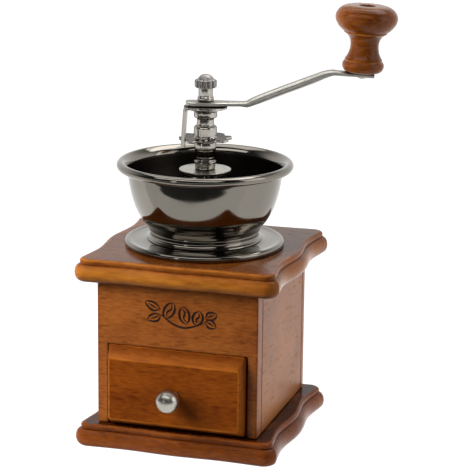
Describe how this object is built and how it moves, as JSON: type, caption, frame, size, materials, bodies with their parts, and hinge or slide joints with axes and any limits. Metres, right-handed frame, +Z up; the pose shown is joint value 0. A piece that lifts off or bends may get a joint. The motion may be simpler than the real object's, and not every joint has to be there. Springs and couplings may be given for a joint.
{
  "type": "hand-cranked box coffee mill",
  "caption": "Hand-cranked coffee mill with an open metal bowl over conical burrs, a bent crank with a turned knob, and a wooden case that holds a collecting drawer.",
  "frame": {"origin": "centre of the base board's underside, on the shaft's axis", "axes": "+Z up along the shaft, -Y the way the drawer opens, +X the side the crank points to at rest"},
  "size_m": [0.1438, 0.1145, 0.2183],
  "materials": {
    "stained_wood": "honey-brown stain under a satin varnish",
    "drawer_wood": "plain, unvarnished",
    "chrome": "bright plated",
    "dark_chrome": "mirror plated, slightly dark",
    "zinc_plate": "matt plated sheet",
    "steel": "plain turned steel",
    "cast_iron": "as cast, ground teeth"
  },
  "bodies": {
    "case": {"base_board": "stained_wood", "base_screw_1": "steel", "base_screw_2": "steel", "base_screw_3": "steel", "base_screw_4": "steel", "front_panel": "stained_wood", "back_panel": "stained_wood", "left_panel": "stained_wood", "right_panel": "stained_wood", "top_board": "stained_wood", "flange_plate": "dark_chrome", "bowl": "dark_chrome", "bridge": "zinc_plate", "bridge_screw_1": "steel", "bridge_screw_2": "steel", "bridge_screw_3": "steel", "bearing_bush": "chrome", "outer_burr": "cast_iron", "burr_screw_1": "steel", "burr_screw_2": "steel", "burr_screw_3": "steel"},
    "drawer": {"drawer_front": "stained_wood", "drawer_left_side": "drawer_wood", "drawer_right_side": "drawer_wood", "drawer_back": "drawer_wood", "drawer_bottom": "drawer_wood", "drawer_knob": "chrome", "drawer_knob_screw": "steel"},
    "adjuster": {"adjusting_nut": "chrome", "spring": "steel"},
    "spindle": {"shaft": "steel", "lock_plate": "chrome", "crank_arm": "chrome", "cap_nut": "chrome", "knob_bolt": "steel", "inner_burr": "cast_iron", "burr_washer": "steel", "burr_nut": "steel", "spring_washer": "steel"},
    "grip": {"crank_knob": "stained_wood"}
  },
  "joints": [
    {"name": "crank_turn", "type": "hinge", "parent": "case", "child": "adjuster", "pos_m": [0, 0, 0.15], "axis": [0, 0, 1], "continuous": true},
    {"name": "grind_setting", "type": "slide", "parent": "adjuster", "child": "spindle", "axis": [0, 0, 1], "range_m": [-0.0008, 0.0008], "deforming": ["spring"]},
    {"name": "knob_spin", "type": "hinge", "parent": "spindle", "child": "grip", "pos_m": [0.07471, 0.01863, 0.18487], "axis": [0.0508, 0.0127, 0.9986], "continuous": true},
    {"name": "drawer_slide", "type": "slide", "parent": "case", "child": "drawer", "axis": [0, -1, 0], "range_m": [0, 0.065]}
  ]
}
